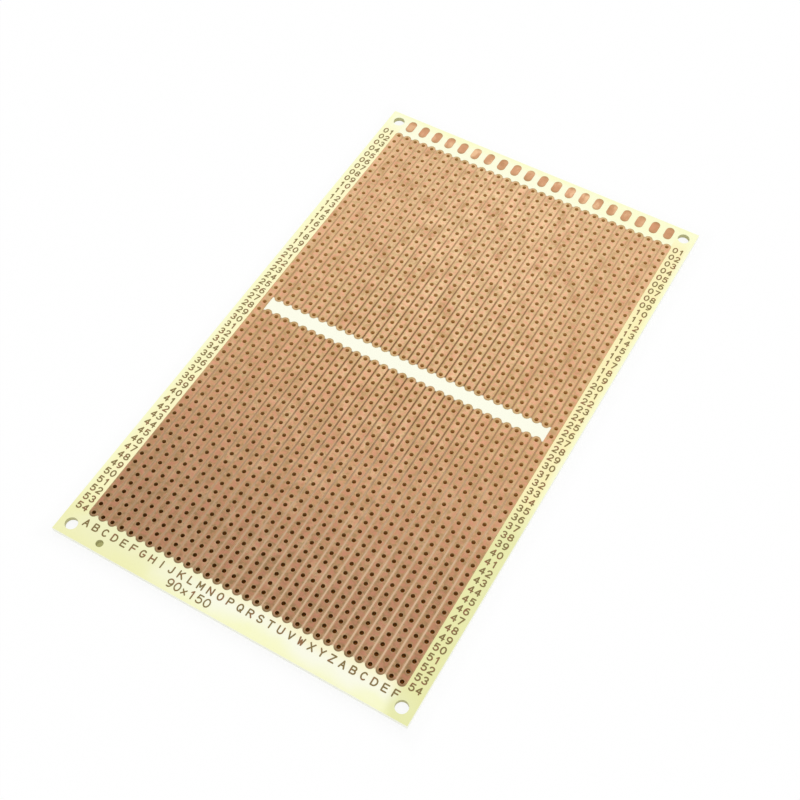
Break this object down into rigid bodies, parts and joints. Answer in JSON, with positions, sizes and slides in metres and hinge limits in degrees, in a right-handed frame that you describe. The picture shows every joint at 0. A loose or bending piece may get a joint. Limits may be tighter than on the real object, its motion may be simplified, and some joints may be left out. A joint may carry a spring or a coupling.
{
  "type": "prototype board",
  "caption": "Flat glass-epoxy prototype board drilled on a square grid, with parallel copper strips on one face, a row of edge contact pads and a mounting hole in each corner.",
  "frame": {"origin": "centre of the sheet's underside", "axes": "+X across the copper strips, from the first lettered column to the last; +Y along the strips, towards the edge contact pads; +Z out of the copper face"},
  "size_m": [0.09, 0.15, 0.0012],
  "materials": {
    "laminate": "translucent pale yellow-green glass-epoxy with a faint weave",
    "strip_copper": "thin copper under clear lacquer, satin, slightly uneven in colour",
    "pad_copper": "thin copper under clear lacquer, satin"
  },
  "bodies": {
    "root": {"laminate_upper": "laminate", "laminate_lower": "laminate", "copper_side_left": "strip_copper", "copper_column_02": "strip_copper", "copper_column_03": "strip_copper", "copper_column_04": "strip_copper", "copper_column_05": "strip_copper", "copper_column_06": "strip_copper", "copper_column_07": "strip_copper", "copper_column_08": "strip_copper", "copper_column_09": "strip_copper", "copper_column_10": "strip_copper", "copper_column_11": "strip_copper", "copper_column_12": "strip_copper", "copper_column_13": "strip_copper", "copper_column_14": "strip_copper", "copper_column_15": "strip_copper", "copper_column_16": "strip_copper", "copper_column_17": "strip_copper", "copper_column_18": "strip_copper", "copper_column_19": "strip_copper", "copper_column_20": "strip_copper", "copper_column_21": "strip_copper", "copper_column_22": "strip_copper", "copper_column_23": "strip_copper", "copper_column_24": "strip_copper", "copper_column_25": "strip_copper", "copper_column_26": "strip_copper", "copper_column_27": "strip_copper", "copper_column_28": "strip_copper", "copper_column_29": "strip_copper", "copper_column_30": "strip_copper", "copper_column_31": "strip_copper", "copper_side_right": "strip_copper", "edge_pads": "pad_copper"}
  },
  "joints": []
}
